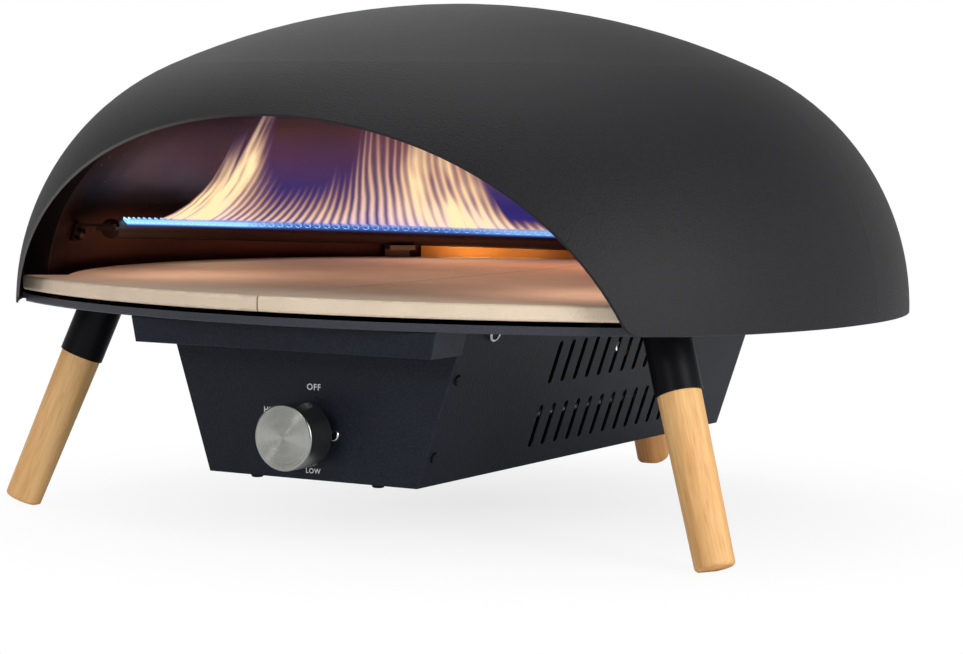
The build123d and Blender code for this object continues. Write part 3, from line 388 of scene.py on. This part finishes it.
def beech(name, azimuth, dark=(0.66, 0.335, 0.112), light=(0.93, 0.57, 0.245)):
    wood = Finish(name, Specular_IOR_Level=0.35, Coat_Weight=0.06, Coat_Roughness=0.35)
    turned = {"Vector": wood.place(), "Rotation": (0, -leg_splay, math.radians(azimuth))}
    along_leg = wood.node("ShaderNodeMapping", {"vector_type": "TEXTURE"}, turned)
    drawn_out = {"Vector": along_leg, "Scale": (1.0, 1.0, grain_stretch)}
    stretched = wood.node("ShaderNodeMapping", None, drawn_out)
    rings = wood.noise(95.0, 3.0, stretched)
    fibres = wood.noise(900.0, 3.0, stretched)
    fleck = wood.dots(520.0, 0.20, 7.0, stretched)
    board = wood.mix(wood.clamp(rings * 2.5 - 0.75 + (fibres - 0.5) * 1.1), dark, light)
    wood.feed(Base_Color=wood.mix(fleck * 0.55, board, (0.42, 0.19, 0.06)))
    wood.feed(Roughness=0.50 + fibres * 0.12)
    wood.feed(Normal=wood.bump(fibres - fleck, 0.00010))
    return wood


dress(beech("beech_left", 210.0), "leg_left")
dress(beech("beech_right", -30.0), "leg_right")
# The rear leg's darker, browner colours are painted shade from the oven above it.
dress(beech("beech_rear_painted_shade", 90.0, (0.44, 0.19, 0.055), (0.62, 0.31, 0.11)), "leg_rear")

# %% [markdown]
# ## Small metal parts
# The knob is turned steel. A lathe leaves fine rings, which spread a lamp's reflection
# into a bright fan across the face. The rings are far finer than a pixel, so a bump is
# no help: the normal itself is tipped outwards and inwards by a noise that changes only
# with the distance from the axis.

# %% Knob
knob_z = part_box("knob")[0].z * 0.5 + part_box("knob")[1].z * 0.5


def turned_steel(name, colour, roughness, tip):
    steel = Finish(name, Metallic=1.0)
    x, _, z = steel.parts_of(steel.place())
    outward = steel.joined(x, 0.0, z - knob_z)
    from_axis = steel.joined(steel.node("ShaderNodeVectorMath", {"operation": "LENGTH"}, {0: outward}, 1))
    ring = steel.noise(26000.0, 1.0, from_axis)
    band = steel.noise(900.0, 2.0, from_axis)
    light = tuple(value * 1.35 for value in colour)
    steel.feed(Base_Color=steel.mix(steel.clamp(band * 1.6 - 0.3), colour, light))
    steel.feed(Roughness=roughness + (band - 0.5) * 0.12)
    tipped = steel.vector("MULTIPLY", steel.vector("NORMALIZE", outward), (ring - 0.5) * tip)
    turn = {"vector_type": "VECTOR", "convert_from": "OBJECT", "convert_to": "WORLD"}
    tipped = steel.node("ShaderNodeVectorTransform", turn, {0: tipped})
    square = steel.node("ShaderNodeNewGeometry", output="Normal")
    steel.feed(Normal=steel.vector("NORMALIZE", steel.vector("ADD", square, tipped)))
    return steel


dress(turned_steel("knob_turned_steel", (0.34, 0.34, 0.32), 0.26, tip=0.3), "knob")
dress(turned_steel("knob_spun_face", (0.33, 0.33, 0.305), 0.14, tip=2.2), "knob_face")

# %% Fittings
bright = heat_steel("bright_plating", (0.74, 0.74, 0.75), (0.80, 0.80, 0.80), (0.68, 0.68, 0.70), 0.16)
brass = heat_steel("machined_brass", (0.62, 0.45, 0.20), (0.70, 0.52, 0.26), (0.55, 0.38, 0.18), 0.26)
pipe = heat_steel("drawn_tube", (0.66, 0.66, 0.67), (0.72, 0.72, 0.72), (0.60, 0.60, 0.62), 0.32)
dress(bright, "side_hook", "valve_screws", "valve_stem", "igniter_pin", "thermocouple", "leg_bolts")
dress(brass, "gas_valve", "valve_plunger", "gas_jet", "gas_inlet")
dress(pipe, "inlet_pipe")

# %% [markdown]
# The igniter's body is glazed porcelain: white, with a thin glossy coat and faint specks.

# %% Igniter
ceramic = Finish("igniter_white", Coat_Weight=0.5, Coat_Roughness=0.1)
speck = ceramic.noise(300.0, 2.0)
ceramic.feed(Base_Color=ceramic.mix(speck, (0.78, 0.74, 0.68), (0.90, 0.88, 0.84)))
ceramic.feed(Roughness=0.25 + speck * 0.1)
dress(ceramic, "igniter_ceramic")

# %% [markdown]
# ## Flames
# Gas burns at every port of the burner. The jets leave inwards and upwards, and the
# draught then turns them up under the dome, so each port draws a bright streak. Both
# the sheet of flame and the blue roots are laid out from the burner's own centre.

# %% Where the burner lies
tube = 0.008
ring_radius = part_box("burner_ring")[1].x - tube
ring_lean = math.radians(-2.5)
ring_place = Vector((0.0, axis_y, rim_z + 0.0474))
port_tilt = math.radians(45)
port_rise = 0.0057
port_pitch = 0.009
port_step = math.degrees(port_pitch / (ring_radius - tube * math.cos(port_tilt)))
first_port = 195.1
port_angles = [first_port - port_step * count for count in range(114)]
print("burner radius", round(ring_radius, 4), "ports", len(port_angles))


def ring_frame(finish):
    """Coordinates from the burner's centre, in the burner's own leaning plane."""
    turned = {"Vector": finish.place(), "Location": ring_place, "Rotation": (ring_lean, 0, 0)}
    return finish.parts_of(finish.node("ShaderNodeMapping", {"vector_type": "TEXTURE"}, turned))


def glowing(name, strength):
    """A finish that gives light and reflects none."""
    black = {"Base_Color": (0, 0, 0, 1), "Roughness": 1.0, "Specular_IOR_Level": 0.0}
    return Finish(name, Emission_Strength=strength, **black)


# %% Picking and placing
def pick(piece, test):
    """Leave edit mode selected on the vertices that pass a test."""
    bpy.ops.object.mode_set(mode="OBJECT")
    for part in (piece.data.edges, piece.data.polygons):
        part.foreach_set("select", [False] * len(part))
    for vertex in piece.data.vertices:
        vertex.select = test(vertex.co)
    bpy.ops.object.mode_set(mode="EDIT")
    bpy.ops.mesh.select_mode(type="VERT")


def join(pieces):
    """Make one piece of several."""
    for piece in pieces:
        piece.select_set(True)
    bpy.context.view_layer.objects.active = pieces[0]
    bpy.ops.object.join()
    return pieces[0]


def settle(piece, name, finish, body="oven"):
    """Name a finished piece, put its place into its mesh, and give it a finish."""
    bpy.ops.object.mode_set(mode="OBJECT")
    bpy.ops.object.select_all(action="DESELECT")
    piece.select_set(True)
    bpy.context.view_layer.objects.active = piece
    bpy.ops.object.transform_apply(location=True, rotation=True, scale=True)
    piece.name = name
    piece.data.name = name
    piece.data.materials.clear()
    piece.data.materials.append(finish.material)
    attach(piece, body)
    print(name, len(piece.data.vertices), "vertices on", body)


# %% [markdown]
# ### The sheet of flame
# Flames are light without a surface, so they are an open sheet that glows and is
# see-through between its streaks. The sheet starts as an arc of a circle along the
# burner and is extruded row by row along the path of a jet, with each row drawn in to
# its own radius.

# %% Flame sheet
flame_path = [
    (0.2768, -0.0024), (0.2765, 0.0010), (0.2778, 0.0046), (0.2740, 0.0090), (0.2640, 0.0137),
    (0.2510, 0.0217), (0.2390, 0.0317), (0.2300, 0.0417), (0.2235, 0.0517), (0.2178, 0.0617),
    (0.2125, 0.0717), (0.2065, 0.0837), (0.2005, 0.0957), (0.1945, 0.1090),
]
start_radius, start_height = flame_path[0]
front_y = start_radius * math.sin(math.radians(-16))
bpy.ops.object.select_all(action="DESELECT")
bpy.ops.mesh.primitive_circle_add(vertices=360, radius=start_radius, location=ring_place)
curtain = bpy.context.object
pick(curtain, lambda spot: spot.y < front_y)
bpy.ops.mesh.delete(type="VERT")
bpy.ops.mesh.select_all(action="SELECT")
bpy.ops.transform.translate(value=(0, 0, start_height))
for (near, low), (far, high) in zip(flame_path, flame_path[1:]):
    bpy.ops.mesh.extrude_region_move(TRANSFORM_OT_translate={"value": (0, 0, high - low)})
    bpy.ops.transform.resize(value=(far / near, far / near, 1), center_override=ring_place)
bpy.ops.mesh.select_all(action="SELECT")
bpy.ops.mesh.faces_shade_smooth()
bpy.ops.object.mode_set(mode="OBJECT")
curtain.rotation_euler.x = ring_lean
print("rows of flame", len(flame_path))

# %% [markdown]
# ### Which port a point belongs to
# The finish works in the burner's own frame. The angle round the ring, carried back along
# the draught, says which port a point belongs to and how far round the burner that port
# is, from 0 on the right to 1 on the left. This angle is counted from the rear and the
# ports' own angles from the right, so the two differ by a quarter turn.

# %% Ports of the sheet
burner_span, quarter_turn = 107.0, 90.0
draught_end, draught_turn, wander_turn = 66.0, 6.0, 6.0
fire = glowing("gas_flame", 1.25)
x, y, z = ring_frame(fire)
around = fire.math("ARCTAN2", -x, y) * math.degrees(1)
rise = z - port_rise
up_share = fire.clamp(rise * 10.0)
drawn = fire.clamp((draught_end - around) * 0.07) * (up_share * 1.8) ** 0.73 * draught_turn
wander = (fire.noise(15.0, 1.0) - 0.5) * (up_share * wander_turn)
start = around - drawn + wander
port = (first_port - quarter_turn - start) / port_step
way_round = fire.clamp((start + burner_span) / (burner_span * 2))
print("a port every", round(port_step, 3), "degrees")

# %% [markdown]
# ### How high and how dense the flames are
# One ramp gives the height that the flames reach round the burner, and another says how
# far neighbouring flames have run together. A cosine of the port number gives one streak
# per port, and each port's own random number makes some flames longer.

# %% Height and streaks
flame_heights = [
    (0.04, 0.02), (0.10, 0.55), (0.15, 0.30), (0.27, 0.22), (0.36, 0.62), (0.46, 0.30), (0.550, 0.08),
    (0.590, 0.10), (0.618, 0.95), (0.690, 1.0), (0.722, 0.98), (0.742, 0.44), (0.757, 0.34), (0.763, 0.46),
    (0.775, 0.30), (0.830, 0.26), (0.850, 0.36), (0.864, 0.45), (0.870, 0.62), (0.880, 0.78), (0.887, 1.0),
    (0.900, 0.90), (0.905, 0.34), (0.910, 0.62), (0.930, 0.55), (0.938, 0.02),
]
run_together = [
    (0.08, 0.5), (0.15, 0.15), (0.36, 0.3), (0.50, 0.2), (0.585, 0.40), (0.61, 0.66), (0.655, 0.70),
    (0.69, 0.22), (0.80, 0.12), (0.86, 0.22), (0.880, 0.80), (0.93, 0.85),
]
own = fire.noise(3.0, 0.0, fire.joined(fire.math("ROUND", port)))
along = rise / (fire.level(way_round, flame_heights) * (0.080 + own * 0.062))
wave = fire.math("COSINE", port * math.tau) * 0.5 + 0.5
filled = fire.level(way_round, run_together)
gust = fire.noise(1.0, 2.0, fire.joined(port * 0.33, rise * 16.0))
filled = fire.clamp(filled + (gust - 0.5) * 3.4 * filled)
slim = wave ** (0.55 + along * 2.0)
streak = slim * (1.0 - filled) + filled
body = fire.clamp(1.15 - along) ** 0.8 * streak * fire.clamp(rise * 330.0 - 0.25)
body = fire.clamp(body * (0.80 + filled * 0.6))
print("stops for the height", len(flame_heights), "and for the density", len(run_together))

# %% [markdown]
# ### Colours of the sheet
# A flame is violet where it starts, then peach, orange and red, and almost white where
# many run together. A violet haze hangs low between the streaks, and a blue line follows
# the ports.

# %% Colours of the sheet
heat_colours = [
    (0.0, (0.60, 0.48, 0.86)), (0.08, (0.90, 0.60, 0.56)), (0.24, (0.92, 0.56, 0.34)),
    (0.50, (0.86, 0.45, 0.20)), (0.78, (0.60, 0.25, 0.11)), (1.0, (0.28, 0.11, 0.13)),
]
blue_line = [(0.60, 0.85), (0.66, 0.60), (0.78, 0.55), (0.84, 1.0)]
haze = fire.clamp(1.2 - rise * 15.0) * 0.74 * fire.clamp(rise * 400.0)
haze = haze * fire.clamp((0.925 - way_round) * 26.0)
root = fire.clamp(1.55 - fire.math("ABSOLUTE", rise) * 400.0) * fire.level(way_round, blue_line)
heat = fire.ramp(fire.clamp(along * 0.9), heat_colours)
hot = fire.mix(fire.clamp(filled * filled * (1.4 - along) * 1.2), heat, (1.0, 0.72, 0.40))
glow = fire.mix(body, (0.036, 0.026, 0.180), hot)
blue = fire.mix(root * root, (0.03, 0.14, 0.80), (0.34, 0.66, 1.0))
fire.feed(Emission_Color=fire.mix(root, glow, blue))
clear = (1.0 - haze) * (1.0 - body) * (1.0 - root * 0.95)
fire.feed(Alpha=fire.clamp(1.0 - clear))
settle(curtain, "flame_curtain", fire)

# %% [markdown]
# ### Blue roots
# Close to the burner each flame is a short blue cone that is dark in the middle, where
# the gas hasn't met the air yet. One open cone is made and copied to every port.

# %% Finish of the roots
blue_fire = glowing("blue_flame", 1.7)
x, y, z = ring_frame(blue_fire)
aside = blue_fire.length(x, y) - ring_radius
climbed = (blue_fire.length(aside, z) - tube) * 480.0
flicker = blue_fire.noise(220.0, 1.0)
edge = blue_fire.level(climbed, [(0.0, 0.25), (0.45, 0.6), (0.75, 1.0)])
blue_fire.feed(Emission_Color=blue_fire.mix(edge, (0.02, 0.12, 0.85), (0.30, 0.68, 1.0)))
blue_fire.feed(Alpha=blue_fire.clamp(edge * (0.85 + flicker * 0.4)))

# %% Roots at the ports
root_foot, root_mouth, root_length, root_middle = 0.0021, 0.0034, 0.0018, 0.0012
bpy.ops.object.select_all(action="DESELECT")
bpy.ops.mesh.primitive_cone_add(
    vertices=12, radius1=root_foot, radius2=root_mouth, depth=root_length, end_fill_type="NOTHING")
cone = bpy.context.object
bpy.ops.object.mode_set(mode="EDIT")
bpy.ops.mesh.select_all(action="SELECT")
bpy.ops.transform.translate(value=(0, 0, root_middle + tube))
bpy.ops.mesh.subdivide(number_cuts=1)
bpy.ops.mesh.faces_shade_smooth()
bpy.ops.object.mode_set(mode="OBJECT")
cones = [cone]
for _ in port_angles[1:]:
    twin = cone.copy()
    twin.data = cone.data.copy()
    bpy.context.scene.collection.objects.link(twin)
    cones.append(twin)
ring_turn = Matrix.Translation(ring_place) @ Matrix.Rotation(ring_lean, 4, "X")
on_tube = Matrix.Translation((ring_radius, 0, 0)) @ Matrix.Rotation(-port_tilt, 4, "Y")
for piece, angle in zip(cones, port_angles):
    piece.matrix_world = ring_turn @ Matrix.Rotation(math.radians(angle), 4, "Z") @ on_tube
settle(join(cones), "flame_roots", blue_fire)

# %% [markdown]
# ## Words round the knob
# The panel shows in small white print where the knob turns the gas off, high and low.
# Blender writes them as text curves, which are made a mesh before they are put in place.
# Each word has its letter size and its place across and up, in millimetres.

# %% Printed words
ink = Finish("white_print", Roughness=0.6, Specular_IOR_Level=0.3)
ink.feed(Base_Color=ink.mix(ink.noise(2600.0, 2.0), (0.62, 0.63, 0.66), (0.86, 0.87, 0.90)))
print_gap = 0.00012
print_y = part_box("box_front")[0].y - print_gap
word_places = [("OFF", 6.2, 2.0, 111.5), ("HIGH", 5.6, -33.0, 93.2), ("LOW", 5.0, 1.8, 52.0)]
words = []
for letters, size, across, height in word_places:
    bpy.ops.object.text_add()
    word = bpy.context.object
    word.data.body = letters
    word.data.size = size / 1000
    word.data.align_x = "CENTER"
    word.data.align_y = "CENTER"
    word.data.space_character = 1.12
    word.data.offset = 0.00008
    bpy.ops.object.convert(target="MESH")
    word.location = (across / 1000, print_y, height / 1000)
    word.rotation_euler = (math.radians(90), 0, 0)
    words.append(word)
settle(join(words), "dial_words", ink)

# %% [markdown]
# ## Floor, background and light
# The oven stands on a white sweep. The floor takes the oven's shadow, and plain white is
# mixed in for the camera alone, more of it further off, until the floor meets the white
# background without a line.

# %% White sweep
bpy.ops.object.select_all(action="DESELECT")
bpy.ops.mesh.primitive_circle_add(vertices=96, radius=14.0, fill_type="NGON")
floor = bpy.context.object
floor.name = "floor"
sweep = Finish("white_sweep", Roughness=0.9, Specular_IOR_Level=0.0)
x, y, _ = sweep.parts_of(sweep.place())
away = sweep.length(x, y)
sweep.feed(Base_Color=sweep.mix(sweep.clamp(away * 0.2), (0.90, 0.90, 0.90), (0.93, 0.93, 0.93)))
white = sweep.node("ShaderNodeEmission", None, {"Color": (1, 1, 1, 1), "Strength": 1.0})
camera_ray = sweep.node("ShaderNodeLightPath", output="Is Camera Ray")
whiter = sweep.clamp(0.93 + (away - 0.35) * 0.5) * camera_ray
matt = Wire(sweep, sweep.shader.outputs[0])
sweep.show(sweep.node("ShaderNodeMixShader", None, {0: whiter, 1: matt, 2: white}), "Material Output")
floor.data.materials.append(sweep.material)
floor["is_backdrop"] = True
print("floor radius 14 m")

# %% [markdown]
# The world is soft grey light, and is white where the camera looks at it. A reflection
# sees a room that is bright behind the oven and dark in front of it and overhead, because
# that is what draws the soft shading on a black dome.

# %% World
world = bpy.data.worlds.new("studio")
bpy.context.scene.world = world
world.use_nodes = True
sky = Graph(world.node_tree)
sky.tree.nodes.remove(sky.tree.nodes["Background"])
camera_ray = sky.node("ShaderNodeLightPath", output="Is Camera Ray")
glossy_ray = sky.node("ShaderNodeLightPath", output="Is Glossy Ray")
_, y, z = sky.parts_of(sky.node("ShaderNodeTexCoord", output="Generated"))
to_the_back = {"Value": y, "From Min": -0.55, "From Max": 0.35, "To Min": 0.06, "To Max": 0.70}
backdrop = sky.node("ShaderNodeMapRange", None, to_the_back)
to_the_top = {"Value": z, "From Min": 0.05, "From Max": 0.95, "To Min": 1.0, "To Max": 0.25}
ceiling = sky.node("ShaderNodeMapRange", {"interpolation_type": "SMOOTHSTEP"}, to_the_top)
room = sky.math("MAXIMUM", camera_ray, backdrop * ceiling)
seen = sky.node("ShaderNodeBackground", None, {"Color": (1, 1, 1, 1), "Strength": room})
soft = sky.node("ShaderNodeBackground", None, {"Color": (0.95, 0.97, 1.0, 1), "Strength": 0.50})
looked_at = sky.math("MAXIMUM", camera_ray, glossy_ray)
sky.show(sky.node("ShaderNodeMixShader", None, {0: looked_at, 1: soft, 2: seen}), "World Output")
print("world nodes", len(sky.tree.nodes))

# %% [markdown]
# Five soft boxes light the oven: one overhead, one behind it on the left, one at each
# side, and a small one in front. The one on the right is by far the strongest.

# %% Soft boxes
def soft_box(name, place, target, size, power, colour=(1, 1, 1)):
    lamp = bpy.data.lights.new(name, "AREA")
    lamp.shape = "RECTANGLE"
    lamp.size, lamp.size_y = size
    lamp.energy = power
    lamp.color = colour
    holder = bpy.data.objects.new(name, lamp)
    bpy.context.scene.collection.objects.link(holder)
    holder.location = place
    holder.rotation_euler = (Vector(target) - Vector(place)).to_track_quat("-Z", "Y").to_euler()
    print(name, power, "W")
    return holder


soft_box("overhead", (-0.3, 0.2, 2.4), (0, 0, 0.2), (2.0, 1.4), 20.0)
soft_box("back_left", (-1.7, 1.5, 1.9), (0, 0, 0.25), (1.8, 1.2), 8.0)
soft_box("left_side", (-2.4, -1.2, 1.0), (0, 0, 0.2), (1.0, 1.4), 2.0)
soft_box("right_side", (2.5, -0.9, 0.9), (0, 0, 0.2), (1.0, 1.4), 42.0)
soft_box("front_fill", (-0.35, -3.0, 1.25), (0, 0, 0.15), (0.8, 0.6), 11.5)

# %% [markdown]
# The flames light the stone and the sheet round them. A see-through sheet that glows
# gives little and noisy light, so small warm lamps inside the dome stand in for it.
# Neither the camera nor a reflection sees them. Their places are measured from the
# dome's axis at the rim, and these four face straight down.

# %% Firelight
def fire_light(name, place, target, size, power, colour):
    start, end = [(x, axis_y + y, rim_z + z) for x, y, z in (place, target)]
    holder = soft_box(name, start, end, size, power, colour)
    holder.visible_camera = False
    holder.visible_glossy = False


orange, peach, rose = (1.0, 0.42, 0.20), (1.0, 0.63, 0.50), (1.0, 0.66, 0.53)
for name, place, size, power, colour in (
        ("burner_glow", (-0.04, 0.190, 0.085), (0.34, 0.06), 0.11, orange),
        ("middle_glow", (0, 0.03, 0.135), (0.24, 0.24), 0.125, peach),
        ("left_glow", (-0.185, -0.115, 0.100), (0.10, 0.10), 0.085, rose),
        ("right_glow", (0.18, -0.12, 0.100), (0.10, 0.10), 0.085, rose)):
    fire_light(name, place, (*place[:2], 0), size, power, colour)

# %% [markdown]
# The plate behind the stone glows most at its left end. Three narrow lamps stand in the
# gap between the stone and the plate, under the burner, and grow stronger to the left.

# %% Light on the plate
plate_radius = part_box("rear_shield")[1].y - axis_y
lamp_radius = plate_radius - 0.024
lamp_height = 0.026
amber = (1.0, 0.60, 0.26)
for count in range(3):
    bearing = math.radians(101.0 + 9.0 * count)
    power = 0.0007 + 0.0036 * count
    near, far = [
        (radius * math.cos(bearing), radius * math.sin(bearing), lamp_height)
        for radius in (lamp_radius, plate_radius)]
    fire_light("plate_glow_" + str(count), near, far, (0.04, 0.004), power, amber)

# %% Measure and finish
low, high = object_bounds()
print("visual box", [round(v, 4) for v in (*low, *high)])
